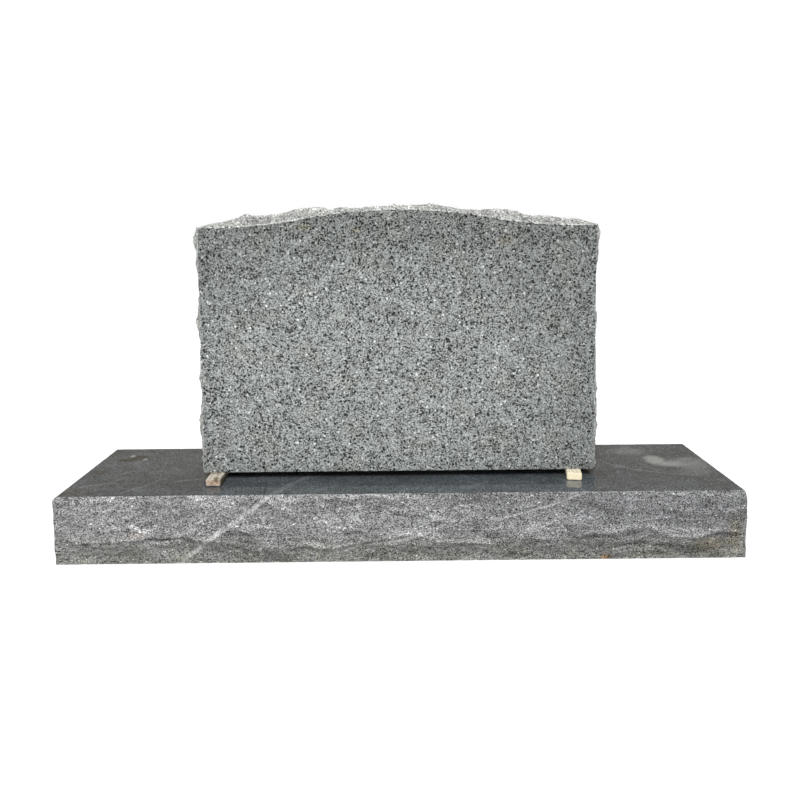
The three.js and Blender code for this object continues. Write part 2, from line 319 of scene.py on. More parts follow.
crestRipple = 0.1  # how far the crest ripples, as a share of it
cornerTurn = 45  # the broken edge turns to a corner's own direction over this length
flakeSpread = 0.5  # how unequal in depth the flakes are
flakeMiddle = 0.45  # their mean depth, which they are counted from
openCount = 1000  # more waves than any line has
chipShift = 0.35  # how far the rows of chips stray out of line, in chips
nickLevel = 0.3  # only flakes deeper than this nick the two straight lines
rowEasing = 1.25  # above 1, the rows draw together towards the two straight lines
meshStep = 2.7
proudSpan = 6  # a point is proud or hollow against those up to this many steps away
proudEase = 12
strokeWobble = 1.5  # how far the sides of a listed line stray
strokeWave = 14
strokeMottle = 6
polishedFace, brokenFace, sawnFace = 0, 1, 2  # the order of a block's materials


def chance(i, j, seed):
    # a fixed number from 0 to 1 for each cell of a grid
    whole = 0xFFFFFFFF
    i, j = [np.asarray(n).astype(np.int64) & whole for n in (i, j)]
    h = (i * 374761393 & whole) ^ (j * 668265263 & whole) ^ (seed * 974634777 & whole)
    h = (h ^ (h >> 13)) * 1274126177 & whole
    h = (h ^ (h >> 16)) * 2246822519 & whole
    return (h ^ (h >> 15)) / 4294967296


def mixed(a, b, share):
    return a + (b - a) * share


def smooth(share):
    t = np.clip(share, 0, 1)
    return t * t * (3 - 2 * t)


def ripple(x, y, count, seed):
    # soft waves from -1 to 1, one to a cell
    i, j = np.floor(x), np.floor(y)
    u, v = smooth(x - i), smooth(y - j)
    corner = [[chance(np.mod(i + a, count), j + b, seed) for a in (0, 1)] for b in (0, 1)]
    return 2 * mixed(mixed(*corner[0], u), mixed(*corner[1], u), v) - 1


def flakes(x, y, count, seed):
    # small dished flakes: 0 in the bottom of the deepest, up to about 1 on the ridges between them
    least = np.full(np.broadcast(x, y).shape, np.inf)
    for i in (np.floor(x) + n for n in (-1, 0, 1)):
        for j in (np.floor(y) + n for n in (-1, 0, 1)):
            cell = np.mod(i, count)
            dx = x - i - chance(cell, j, seed)
            dy = y - j - chance(cell, j, seed + 1)
            least = np.minimum(least, flakeSpread * chance(cell, j, seed + 2) + dx * dx + dy * dy)
    return least


def scars(along, inward, scar, around, seed):
    # the row of scars along one line, side by side, each dished: how steep the break is
    count = round(around / scar["width"])
    width = around / count
    place = along / width
    least = np.inf
    for k in (np.floor(place) + n for n in (-1, 0, 1)):
        cell = np.mod(k, count)
        middle = k + 0.5 + scar["stray"] * (chance(cell, 0, seed) - 0.5)
        slope = mixed(scar["low"], scar["high"], chance(cell, 1, seed))
        lean = scar["lean"] * (chance(cell, 2, seed) - 0.5)
        aside = place - middle - lean * inward / width
        least = np.minimum(least, slope * (1 + scar["dish"] * aside * aside))
    return least


def nearBreak(loop, across, cut, around):
    near, seed = cut["near"], cut["seed"]
    slope = loop["steep"] * scars(loop["along"], across, near, around, seed)
    count = round(around / cut["flakeSize"])
    wave = ripple(loop["along"] / around * count, across / cut["flakeSize"], count, seed + 20)
    broken = slope * near["reach"] * (across / near["reach"]) ** near["power"]
    return np.minimum(broken, loop["crest"] * (1 + crestRipple * wave))


def bulge(loop, across, cut, around):
    # how far the broken edge stands out, with the chips and crystals that are too fine for the solids
    far, seed = cut["far"], cut["seed"]
    inside = cut["thickness"] - across
    atRidge = nearBreak(loop, cut["thickness"] - loop["ridge"], cut, around)
    foot = np.minimum(cut["foot"], atRidge)
    fall = np.clip(inside / loop["ridge"], 0, None) ** far["power"]
    fall = fall * scars(loop["along"], inside, far, around, seed + 10)
    broken = np.minimum(nearBreak(loop, across, cut, around), foot + (atRidge - foot) * fall)
    count = round(around / cut["flakeSize"])
    flake = flakes(loop["along"] / around * count, across / cut["flakeSize"], count, seed + 30)
    ease = smooth(across / cut["edgeEase"]) * smooth(inside / cut["edgeEase"])
    reach = broken + ease * loop["flaked"] * cut["flakeDepth"] * (flake - flakeMiddle)
    fineEase = smooth(across / cut["fineEase"]) * smooth(inside / cut["fineEase"])
    for n, (size, long, depth) in enumerate(cut["chips"]):
        count = round(around / size / long)
        x = loop["along"] / around * count
        shifted = across / size + chipShift * ripple(x / 2, across / size / 2, openCount, seed + 60 + n)
        chip = flakes(x, shifted, count, seed + 40 + 3 * n)
        reach = reach + fineEase * loop["flaked"] * depth * (chip - flakeMiddle)
    return reach


def strokes(x, z, lines):
    # how strongly the listed lines mark a point: each is a width, a strength and the places it runs through
    wobble = strokeWobble * ripple(x / strokeWave, z / strokeWave, openCount, 7)
    mask = np.zeros(x.shape)
    for width, strength, places in lines:
        for (x0, z0), (x1, z1) in zip(places, places[1:]):
            dx, dz = x1 - x0, z1 - z0
            share = np.clip(((x - x0) * dx + (z - z0) * dz) / (dx * dx + dz * dz), 0, 1)
            off = np.hypot(x - x0 - share * dx, z - z0 - share * dz)
            mask = np.maximum(mask, strength * smooth(1.4 - (off + wobble) / width))
    return mask * (0.75 + 0.25 * ripple(x / strokeMottle, z / strokeMottle, openCount, 8))


def edgeRun(start, end, out, outStart, outEnd):
    # points from one corner up to, but not including, the next
    length = math.dist(start, end)
    steps = round(length / meshStep)
    share = np.arange(steps) / steps
    gone = share * length
    nearStart = np.clip(1 - gone / cornerTurn, 0, None)
    nearEnd = np.clip(1 - (length - gone) / cornerTurn, 0, None)
    x, y = [mixed(start[n], end[n], share) for n in (0, 1)]
    outX, outY = [mixed(mixed(out[n], outStart[n], nearStart), outEnd[n], nearEnd) for n in (0, 1)]
    return {"x": x, "y": y, "outX": outX, "outY": outY, "share": share, "gone": gone, "left": length - gone}


def joinRuns(runs):
    loop = {name: np.concatenate([run[name] for run in runs]) for name in runs[0]}
    gaps = np.hypot(np.roll(loop["x"], -1) - loop["x"], np.roll(loop["y"], -1) - loop["y"])
    loop["along"] = np.concatenate([[0], np.cumsum(gaps)[:-1]])
    return loop, gaps.sum()


def wander(along, swing, wave, seed):
    return swing * ripple(along / wave, 0 * along, openCount, seed)


def readTable(table, place):
    places, values = np.array(table).T
    n = np.clip(np.searchsorted(places, place), 1, len(places) - 1)
    share = (place - places[n - 1]) / (places[n] - places[n - 1])
    return mixed(values[n - 1], values[n], smooth(share))


def blur(grid, radius):
    # mean over a square of a grid whose rows close up and whose columns don't
    wide = sum(np.roll(grid, n, axis=1) for n in range(-radius, radius + 1)) / (2 * radius + 1)
    padded = np.pad(wide, ((radius, radius), (0, 0)), mode="edge")
    return sum(padded[n:n + len(grid)] for n in range(2 * radius + 1)) / (2 * radius + 1)


def blockRows(loop, cut):
    # how deep each row of points lies, with one row along the ridge
    ridge, depth = loop["ridge"], cut["thickness"]
    rows = round(depth / meshStep)
    nearRows = round(rows * (1 - ridge.mean() / depth))
    row = np.arange(rows + 1)[:, None]
    near = (depth - ridge) * np.clip(row / nearRows, 0, 1) ** rowEasing
    far = depth - ridge * np.clip((rows - row) / (rows - nearRows), 0, 1) ** rowEasing
    return np.where(row <= nearRows, near, far)


def nickLines(reach, loop, cut, around):
    # small chips out of the two straight lines
    count = round(around / cut["arrisChip"])
    nicks = flakes(loop["along"] / around * count, 0 * loop["along"] + 0.5, count, cut["seed"] + 70)
    nicks = np.clip(nickLevel - nicks, 0, None) * cut["arrisDepth"] * loop["open"]
    reach[0] -= nicks
    reach[1] -= nicks * 0.5
    reach[-1] -= np.roll(nicks, len(nicks) // 3)


def edgeLooks(x, y, across, reach, loop, cut, marks):
    # what the materials colour each point of the broken edge by
    inside = cut["thickness"] - across
    past = loop["ridge"] - inside
    ease = smooth(across / proudEase) * smooth(inside / proudEase)
    looks = {
        "proud": (reach - blur(reach, proudSpan)) * ease,
        # lip is a painted highlight along the ridge, with paler bruised stone; under is a painted shadow line
        # just below the ridge
        "lip": np.exp(-(past / cut["lipWidth"]) ** 2),
        "under": np.exp(-((past - cut["underDrop"]) / cut["lipWidth"]) ** 2),
        "edge": np.exp(-(across / cut["edgeWidth"]) ** 2) + np.exp(-(inside / cut["edgeWidth"]) ** 2),
    }
    # the pale and dark marks, which hold painted highlights and painted shade along the chisel ridges
    for title in ("pale", "dark"):
        looks[title] = strokes(x, inside, marks.get(title, [])) * (y < loop["y"].min() + 1)
    return looks


def blockFaces(count, rows):
    # four-sided faces round the edge, then the front and the back as fans, each about a point in its middle
    n = np.arange(count)
    after = (n + 1) % count
    edge = []
    for here in range(0, rows * count, count):
        there = here + count
        edge += np.stack([here + n, there + n, there + after, here + after], axis=1).tolist()
    last, middle = rows * count, (rows + 1) * count
    front = np.stack([0 * n + middle, n, after], axis=1).tolist()
    back = np.stack([0 * n + middle + 1, last + after, last + n], axis=1).tolist()
    return edge, front + back


def newPiece(name, points, faces):
    mesh = bpy.data.meshes.new(name)
    mesh.from_pydata((points * mm).tolist(), [], faces)
    piece = bpy.data.objects.new(name, mesh)
    scene.collection.objects.link(piece)
    return piece, mesh


def brokenBlock(name, loop, around, cut, place, marks):
    # two flat faces and the broken edge between them; place turns the block's own x, y and depth round
    across = blockRows(loop, cut)
    reach = bulge(loop, across, cut, around)
    nickLines(reach, loop, cut, around)
    x = loop["x"] + loop["outX"] * reach
    y = loop["y"] + loop["outY"] * reach
    points = np.stack([x, y, across], axis=2).reshape(-1, 3)
    middles = [[0, loop["y"].mean(), depth] for depth in (0, cut["thickness"])]
    count, rows = len(loop["x"]), len(across) - 1
    edge, flats = blockFaces(count, rows)
    piece, mesh = newPiece(name, place(np.concatenate([points, middles])), edge + flats)
    sides = np.tile(np.where(loop["open"] > 0, brokenFace, sawnFace), rows)
    kinds = np.concatenate([sides, np.full(count, polishedFace), np.full(count, cut["backFace"])])
    mesh.polygons.foreach_set("material_index", kinds.astype(np.int32))
    mesh.polygons.foreach_set("use_smooth", kinds == brokenFace)
    for title, grid in edgeLooks(x, y, across, reach, loop, cut, marks).items():
        values = np.concatenate([grid.ravel(), [0, 0]]).astype(np.float32)
        mesh.attributes.new(title, "FLOAT", "POINT").data.foreach_set("value", values)
    mesh.validate()
    print(name, "has", 2 * len(edge) + len(flats), "triangles")
    return piece


def finishPiece(piece, node, materials):
    for material in materials:
        piece.data.materials.append(material)
    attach(piece, "root")
    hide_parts(node)


base = {
    "length": 1524,
    "depth": 355.6,
    "height": 152.4,
    "crest": 20,
    "cornerCrest": 5,
    "cornerFlakes": 0.35,
    "cornerEase": 95,
    "lip": 60,
    "lipSwing": 18,
    "lipWave": 240,
    # height of the ridge along the front, against the place from the left end, -1, to the right end, 1
    "frontLip": [(-1, 66), (-0.9, 56), (-0.62, 70), (-0.565, 63), (-0.485, 81), (-0.345, 55),
                 (-0.215, 43), (0.05, 71), (0.1, 54), (0.195, 48), (0.495, 60), (0.555, 70), (0.7, 84),
                 (0.79, 58), (0.83, 56), (0.95, 73), (1, 66)],
    "cut": {
        "seed": 11, "thickness": 152.4, "foot": 4.5,
        "near": {"width": 175, "low": 0.17, "high": 0.27, "reach": 100, "power": 0.72, "dish": 2.2,
                 "stray": 0.6, "lean": 0.7},
        "far": {"width": 120, "low": 1, "high": 1.25, "power": 1.7, "dish": 1.2, "stray": 0.7, "lean": 0.5},
        "edgeEase": 16, "flakeSize": 62, "flakeDepth": 9,
        "fineEase": 5, "chips": [(22, 2.0, 2.0), (11, 1.7, 1.3), (5.5, 1.4, 0.7)],  # size, stretch, depth
        "arrisChip": 17, "arrisDepth": 5, "lipWidth": 3.5, "underDrop": 7, "edgeWidth": 4,
        "backFace": sawnFace,
    },
    # lines on the front, width, strength and the (x, z) places that each runs through: the pale ones are
    # paler streaks, bruised stone and painted highlights along the chisel ridges, and the dark ones are
    # mostly painted shade just under the ridges, with some crack lines
    "marks": {
        # paler streaks and bruised stone, and painted highlights along the chisel ridges
        "pale": [
            (4.5, 1.5, [(-596, 89), (-578, 82), (-548, 73)]),
            (4, 0.5, [(-650, 79), (-648, 75)]),
            (4, 0.8, [(-33, 44), (15, 54), (43, 65)]),
            (3, 0.55, [(15, 43), (116, 52), (190, 46)]),
            (3, 0.5, [(-169, 27), (-127, 29), (-90, 42)]),
            (3.5, 0.5, [(-165, 91), (-120, 86), (-77, 77)]),
            (3.5, 0.4, [(-22, 122), (40, 116), (100, 96)]),
            (3.5, 0.8, [(342, 97), (363, 70)]),
            (3.5, 0.4, [(490, 43), (531, 51), (573, 44)]),
            (4, 0.9, [(-470, 150), (-432, 148)]),
            (3.5, 0.8, [(589, 149), (626, 147)]),
            (3.5, 0.5, [(-69, 149), (20, 146)]),
            (5, 0.5, [(-720, 141), (-660, 146), (-618, 151)]),
            (3.5, 0.7, [(678, 147), (690, 143)]),
            (4, 0.6, [(-345, 96), (-318, 88), (-284, 90)]),
            (4, 0.6, [(-306, 103), (-288, 76)]),
            (3, 0.4, [(-262, 48), (-236, 40), (-222, 22)]),
            (3, 0.5, [(453, 69), (540, 83), (569, 74), (599, 60), (654, 59)]),
            (3, 0.4, [(240, 62), (300, 56), (361, 78)]),
        ],
        # mostly painted shade just under the chisel ridges, with some crack lines
        "dark": [
            (2.6, 0.7, [(-700, 48), (-656, 52), (-599, 57), (-565, 66), (-552, 60)]),
            (3, 1.3, [(-565, 61), (-530, 60), (-505, 62)]),
            (2.6, 0.7, [(-505, 62), (-482, 61), (-445, 56), (-414, 52)]),
            (3.5, 0.5, [(-401, 71), (-364, 75), (-285, 59), (-241, 46)]),
            (4, 0.4, [(361, 69), (394, 52), (453, 60), (540, 73), (599, 51), (654, 50), (700, 60)]),
            (4, 0.4, [(-20, 112), (60, 100), (104, 74)]),
            (3, 0.45, [(430, 44), (490, 35), (560, 41), (600, 33)]),
            (3, 0.45, [(43, 58), (90, 50), (190, 40)]),
            (3, 0.4, [(-150, 84), (-90, 70)]),
        ],
    },
}


def baseLoop():
    x, y = base["length"] / 2, base["depth"] / 2
    corners = [(-x, -y), (x, -y), (x, y), (-x, y)]
    outward = [(0, -1), (1, 0), (0, 1), (-1, 0)]
    runs = []
    for side in range(4):
        start, end = corners[side], corners[(side + 1) % 4]
        run = edgeRun(start, end, outward[side], np.sign(start), np.sign(end))
        clear = smooth(np.minimum(run["gone"], run["left"]) / base["cornerEase"])
        ridge = base["lip"] + wander(run["gone"], base["lipSwing"], base["lipWave"], side)
        if side == 0:
            ridge = readTable(base["frontLip"], 2 * run["share"] - 1)
        run["crest"] = mixed(base["cornerCrest"], base["crest"], clear)
        run["flaked"] = mixed(base["cornerFlakes"], 1, clear)
        run["ridge"] = mixed(base["lip"], ridge, clear)
        run["steep"] = run["open"] = np.ones(len(clear))
        runs.append(run)
    return joinRuns(runs)


stone = {
    "width": 914.4,
    "height": 609.6,
    "shift": -3.2,
    "crownRise": 38.1,
    "shoulder": 37.2,
    "archHalfWidth": 225,
    "cornerLift": 0.35,
    "sideSteepness": 0.55,
    "steepFrom": 0.8,
    "steepBy": 0.95,
    "ridge": 76,
    "ridgeSwing": 20,
    "ridgeWave": 170,
    # how far the crown stands out over its line, against its place from the left end, -1, to the right end, 1
    "crownCrest": [(-1, 8), (-0.93, 16), (-0.78, 22), (-0.56, 25), (-0.39, 20), (-0.35, 13), (-0.3, 16),
                   (-0.19, 7), (0, 10), (0.38, 11), (0.575, 22), (0.7, 19), (0.88, 16), (1, 8)],
    "sideCrest": [(0, 10), (0.22, 20), (0.4, 17), (0.75, 18), (0.92, 24), (1, 8)],
    "cut": {
        "seed": 29, "thickness": 152.4, "foot": 0,
        "near": {"width": 105, "low": 0.3, "high": 0.5, "reach": 50, "power": 0.8, "dish": 2.2,
                 "stray": 0.6, "lean": 0.6},
        "far": {"width": 120, "low": 1, "high": 1.3, "power": 0.85, "dish": 1.4, "stray": 0.6, "lean": 0.6},
        "edgeEase": 14, "flakeSize": 48, "flakeDepth": 8,
        "fineEase": 4, "chips": [(21, 1.3, 2.4), (10, 1.2, 3.0), (5.5, 1.0, 2.0)],
        "arrisChip": 15, "arrisDepth": 6, "lipWidth": 3.5, "underDrop": 7, "edgeWidth": 4,
        "backFace": polishedFace,
    },
}


def crownHeight(x):
    # a rounded arc, a hollow arc on each side, and level shoulders
    height, rise, half = stone["height"], stone["crownRise"], stone["archHalfWidth"]
    curved = stone["width"] / 2 - stone["shoulder"]
    turn = 2 * math.atan(rise / curved)
    roundRadius, hollowRadius = half / math.sin(turn), (curved - half) / math.sin(turn)
    aside = np.abs(x)
    inner = np.minimum(aside, half)
    arch = height - roundRadius + np.sqrt(roundRadius ** 2 - inner ** 2)
    left = np.clip(curved - np.maximum(aside, half), 0, None)
    hollow = height - rise + hollowRadius - np.sqrt(hollowRadius ** 2 - left ** 2)
    return np.where(aside < half, arch, hollow)


def stoneLoop():
    x = stone["width"] / 2
    top = stone["height"] - stone["crownRise"]
    left, right, up = (-1, 0), (1, 0), (0, 1)
    leftCorner, rightCorner = (-1, stone["cornerLift"]), (1, stone["cornerLift"])
    start = {"x": -x, "y": 0, "outX": -1, "outY": 0, "share": 0, "gone": 0, "left": 0}
    underside = {name: np.array([float(value)]) for name, value in start.items()}
    rightSide = edgeRun((x, 0), (x, top), right, right, rightCorner)
    crown = edgeRun((x, 0), (-x, 0), up, rightCorner, leftCorner)
    leftSide = edgeRun((-x, top), (-x, 0), left, leftCorner, left)
    crown["y"] = crownHeight(crown["x"])
    crown["crest"] = readTable(stone["crownCrest"], 1 - 2 * crown["share"])
    crown["steep"] = np.ones(len(crown["x"]))
    for run, share in ((underside, underside["share"]), (rightSide, rightSide["share"]),
                       (leftSide, 1 - leftSide["share"])):
        steepness = smooth((share - stone["steepFrom"]) / (stone["steepBy"] - stone["steepFrom"]))
        run["crest"] = readTable(stone["sideCrest"], share)
        run["steep"] = mixed(stone["sideSteepness"], 1, steepness)
    for run in (underside, rightSide, crown, leftSide):
        run["open"] = np.ones(len(run["x"]))
        run["flaked"] = np.ones(len(run["x"]))
    underside["open"][:] = 0
    loop, around = joinRuns([underside, rightSide, crown, leftSide])
    loop["ridge"] = stone["ridge"] + wander(loop["along"], stone["ridgeSwing"], stone["ridgeWave"],
                                            stone["cut"]["seed"])
    return loop, around


sticks = {
    "width": 35,
    "thickness": 17.5,
    "length": 230,
    "corner": 4,
    "gap": 0.3,  # above and below each stick
    "around": 96,  # points round a stick, and how far apart its rings are
    "step": 2,
    "left": {"middle": -426.2, "shows": 47, "turn": 0, "endEase": 6, "wear": 1.1, "seed": 5},
    "right": {"middle": 405.2, "shows": 27, "turn": 8.5, "endEase": 3, "wear": 0.3, "seed": 6},
}


def stickSection():
    # a rectangle with rounded corners, walked round once
    half, tall, corner = sticks["width"] / 2, sticks["thickness"] / 2, sticks["corner"]
    turn = (np.arange(sticks["around"]) + 0.5) * 2 * np.pi / sticks["around"]
    ray = np.stack([np.cos(turn) * half, np.sin(turn) * tall], axis=1)
    edge = ray / np.abs(ray / [half, tall]).max(axis=1)[:, None]
    inner = np.clip(edge, [corner - half, corner - tall], [half - corner, tall - corner])
    off = edge - inner
    return inner + off / np.hypot(*off.T)[:, None] * corner


def stickMesh(name, one):
    # the section drawn out along y, its ends eased and its edges worn, then turned about its front end
    section = stickSection()
    count, ease, length = len(section), one["endEase"], sticks["length"]
    ends = np.array([0, 0.15, 0.5, 1]) * ease
    body = np.arange(ease + sticks["step"], length - ease - 1, sticks["step"])
    rings = []
    for y in np.concatenate([ends, body, length - ends[::-1]]):
        fromEnd = min(1, y / ease, (length - y) / ease)
        tuck = ease * 0.35 * (1 - math.sqrt(1 - (1 - fromEnd) ** 2))
        cell = np.arange(count) / 5
        worn = one["wear"] * 0.5 * (ripple(cell, 0 * cell + y / 9, openCount, one["seed"]) - 1)
        scale = 1 + (worn - tuck) / np.hypot(*section.T)
        rings.append(np.stack([section[:, 0] * scale, np.full(count, y), section[:, 1] * scale], axis=1))
    shrunk = (0.15, 0.45, 0.75)  # the rings that close each end
    rings = ([rings[0] * [n, 1, n] for n in shrunk] + rings + [rings[-1] * [n, 1, n] for n in shrunk[::-1]])
    x, y, z = np.concatenate(rings).T
    turn = math.radians(one["turn"])
    left = stone["shift"] + one["middle"]
    front = -stone["cut"]["thickness"] / 2 - one["shows"]
    middle = base["height"] + sticks["gap"] + sticks["thickness"] / 2
    points = [left + x * math.cos(turn) + y * math.sin(turn),
              front + y * math.cos(turn) - x * math.sin(turn), middle + z]
    n = np.arange(count)
    after = (n + 1) % count
    faces = []
    for here in range(0, (len(rings) - 1) * count, count):
        there = here + count
        faces += np.stack([here + n, here + after, there + after, there + n], axis=1).tolist()
    faces += [n[::-1].tolist(), ((len(rings) - 1) * count + n).tolist()]
    piece, mesh = newPiece(name, np.stack(points, axis=1), faces)
    mesh.polygons.foreach_set("use_smooth", [True] * len(faces))
    mesh.validate()
    return piece


uprightGranite = {
    "crystal": 1.8,
    "fleck": 4.8,
    "darkShare": 0.16,
    "lightShare": 0.045,
    "patchiness": 0.5,
    "dark": (0.004, 0.005, 0.006, 1),
    "low": (0.045, 0.048, 0.048, 1),
    "high": (0.456, 0.485, 0.47, 1),
    "light": (0.72, 0.74, 0.72, 1),
    # painted light: the polished faces are brightest about this point and darker away from it, a painted
    # falloff of the light
    "paintedLightPool": ((-75, 0, 370), (640, 500, 480), 0.8),  # middle, half its size, raggedness
    "elsewhere": 0.7,  # how bright the faces are far from there
    "warm": (1.02, 0.99, 0.965),  # patches of it
    "polish": (0.12, 0.22),  # roughness of most crystals, and of the dark ones
    "dust": (0.6, 0.59, 0.565, 1),
    "dusty": 0.06,
    "broken": 1.52,  # how much paler the broken faces are
    "brokenTint": (1.03, 0.99, 0.965),
    "paleEdge": 0.8,
    # the darker hollows are painted shade; the paler proud places are bruised stone
    "relief": (0.5, 0.75),  # how much paler the proud places are, and how much darker the hollow ones
    "rough": 0.85,
    "bump": (1.4, 0.9),  # millimetres, strength
    # faint tints on the front: middle, half its size, raggedness and colour
    "tints": [
        ((244, -76, 707), (24, 40, 14), 1.0, (1.0, 0.93, 0.82)),
        ((-216, -76, 742), (20, 40, 10), 1.0, (1.04, 1.0, 0.84)),
        ((-100, -76, 735), (16, 40, 8), 1.0, (1.04, 0.99, 0.82)),
    ],
}

baseGranite = {
    "crystal": 1.25,
    "fleck": 2.7,
    "darkShare": 0.12,
    "lightShare": 0.035,
    "patchiness": 0.3,
    "dark": (0.02, 0.02, 0.02, 1),
    "low": (0.035, 0.035, 0.035, 1),
    "high": (0.445, 0.448, 0.444, 1),
    "light": (0.78, 0.78, 0.77, 1),
    "polished": {
        "dark": (0.02, 0.022, 0.024, 1),
        "low": (0.024, 0.0265, 0.029, 1),
        "high": (0.14, 0.157, 0.17, 1),
        "light": (0.24, 0.26, 0.27, 1),
    },
    "polish": (0.07, 0.13),
    "cloud": (0.85, 1.2),  # the top's brightness, from its darkest clouds to its palest
    "thread": 0.4,  # how much paler the thin threads of the top are
    "drawn": (0.72, 0.72, 1),  # below 1, the broken sides' crystals are longer that way
    "broken": 0.97,  # brightness of the broken sides, and the least that the marks on them leave
    "darkest": 0.08,
    # the darker hollows are painted shade; the paler proud places are bruised stone
    "relief": (0.2, 0.3),  # how much paler the proud places are, and how much darker the hollow ones
    # lip paints a highlight along the ridge, with paler bruised stone, and under paints a shadow just below
    # it; edge is paler bruised stone along the arrises
    "along": {"lip": 0.45, "under": -0.45, "edge": 0.25},  # how much paler the stone is along each
    "darkMarks": -0.85,
    # painted shade: the broken sides are darker and yellow-green towards the bottom
    "lowShade": (0.89, 0.885, 0.785),
    "lowShadeTop": 90,  # how high the painted shade near the bottom reaches
    "rough": 0.85,
    "bump": (1.0, 0.6),
    "bedding": (110, 11, 0.34),  # length, height and strength of the faint streaks that lie along the stone
    "polishedVein": (0.24, 0.25, 0.26, 1),
    "brokenVein": (0.74, 0.74, 0.73, 1),
    # veins that come out of the front and the top, as thin sheets: middle, normal, reach, thickness,
    # wander, strength
    "veins": [
        ((-290, -178, 150), (-0.572, 0.295, 0.766), 330, 8, 24, 0.85),
        ((321, -190, 126), (-0.26, -0.12, 0.958), 130, 3.4, 8, 0.9),
        ((-419, -190, 113), (-0.42, -0.2, 0.885), 45, 3.5, 6, 0.35),
        ((-64, -195, 43), (-0.168, -0.3, 0.939), 125, 3.5, 8, 0.4),
        ((298, -193, 92), (-0.44, -0.2, 0.876), 35, 3.0, 4, 0.4),
        ((26, -195, 61), (-0.232, -0.25, 0.94), 62, 4.0, 6, 0.5),
    ],
    "line": (0.4, 0.4, 0.39, 1),
    # pale lines on the top: the (x, y) places of both ends, thickness, wander, strength
    "lines": [
        ((509, 23), (542, -12), 3.4, 6, 0.6),
        ((542, -12), (578, -44), 3.4, 6, 0.9),
        ((572, -33), (618, -54), 3.4, 6, 0.9),
        ((618, -54), (684, -75), 3.4, 6, 0.6),
        ((-634, -168), (-598, -120), 4, 14, 0.4),
        ((-600, -130), (-552, -50), 4, 14, 0.5),
        ((-730, -114), (-672, -92), 5, 12, 0.45),
        ((-678, -94), (-655, -48), 5, 12, 0.4),
        ((-526, -86), (-465, -64), 4, 10, 0.5),
        ((-704, -44), (-620, 17), 6, 14, 0.3),
    ],
    "smudge": (0.4, 0.4, 0.385, 1),
    # pale smudges on the top: middle, half its size along x and y, raggedness, strength
    "smudges": [
        ((640, 45), (36, 46), 0.9, 0.75),
        ((662, 10), (50, 30), 0.9, 0.6),
        ((716, 12), (66, 70), 1.2, 0.32),
        ((700, -60), (60, 30), 1.2, 0.16),
        ((600, 112), (62, 44), 1.1, 0.25),
        ((-697, 115), (8, 12), 0.2, 1.0),
        ((-656, 87), (7, 11), 0.2, 1.0),
        ((-638, 160), (5, 9), 0.2, 0.3),
        ((-601, 137), (5, 9), 0.2, 0.3),
        ((-527, 101), (8, 6), 0.2, 0.3),
    ],
    # darker blotches on the top: middle, half its size, raggedness and colour
    "blotches": [
        ((-700, 82, 152), (42, 18, 40), 0.7, (0.66, 0.6, 0.55)),
        ((-674, 102, 152), (34, 26, 40), 0.7, (0.62, 0.58, 0.54)),
        ((-737, -14, 152), (30, 22, 40), 0.8, (0.8, 0.72, 0.68)),
        ((-745, -150, 152), (60, 50, 40), 0.8, (0.98, 0.88, 0.84)),
    ],
    # tints on the front: middle, half its size, raggedness and colour. Most are stains and paler stone; the
    # two wide grey ones are painted shade that darkens the right part of the base
    "tints": [
        ((-580, -190, 70), (26, 30, 13), 0.7, (1.14, 1.04, 1.0)),
        ((684, -190, 34), (60, 40, 28), 1.1, (0.95, 0.88, 0.74)),
        ((456, -185, 5), (18, 30, 9), 0.8, (1.3, 0.9, 0.58)),
        # painted shade: the right part of the base darker, as a falloff of the light
        ((540, -180, 150), (620, 300, 100), 0.7, (0.84, 0.84, 0.85)),
        ((742, -170, 60), (26, 60, 60), 1.2, (0.97, 0.9, 0.78)),
        # painted shade: the right end darker still, as a falloff of the light
        ((700, -180, 90), (640, 300, 320), 0.6, (0.86, 0.86, 0.87)),
    ],
}


sawn = {
    "grey": (0.4, 0.4, 0.39, 1),
    "pale": 0.35,
    "rough": 0.7,
    "lines": 3,
    "bump": (0.4, 0.5),
}


def newGranite(name, kind, colors=None, drawn=(1, 1, 1)):
    # a material with the crystals of one stone in it, for its face to be finished
    material, tree = newMaterial(name)
    point = spotOf(tree)
    given = {"Point": vector(tree, "MULTIPLY", point, drawn), "Crystal": kind["crystal"],
             "Fleck": kind["fleck"], "Dark share": kind["darkShare"], "Light share": kind["lightShare"],
             "Patchiness": kind["patchiness"]}
    for tone in ("dark", "low", "high", "light"):
        given[tone.title()] = (colors or kind)[tone]
    return material, tree, point, placeGroup(tree, "granite", given)


def addVeins(tree, point, color, veins, pale):
    for middle, normal, reach, thickness, wanders, strength in veins:
        given = {"Point": point, "Middle": [n * mm for n in middle], "Normal": normal, "Reach": reach * mm,
                 "Thickness": thickness * mm, "Wander": wanders * mm}
        mask = placeGroup(tree, "vein", given)["Mask"]
        color = mixColor(tree, product(tree, mask, strength), color, pale)
    return color


def asVeins(lines, height):
    # a line on a level face as a standing sheet
    veins = []
    for (x0, y0), (x1, y1), thickness, wanders, strength in lines:
        long = math.hypot(x1 - x0, y1 - y0)
        middle = ((x0 + x1) / 2, (y0 + y1) / 2, height)
        normal = ((y0 - y1) / long, (x1 - x0) / long, 0)
        veins.append((middle, normal, 0.6 * long, thickness, wanders, strength))
    return veins


def brighten(tree, color, factor):
    return vector(tree, "SCALE", color, scale=factor)


def attribute(tree, name):
    return addNode(tree, "Attribute", attribute_name=name).outputs["Fac"]


def blot(tree, point, middle, across, ragged):
    middle, across = [[n * mm for n in part] for part in (middle, across)]
    given = {"Point": point, "Middle": middle, "Across": across, "Ragged": ragged}
    return placeGroup(tree, "blot", given)["Mask"]


def tint(tree, share, color, shade):
    return mixColor(tree, share, color, (*shade, 1), "MULTIPLY")


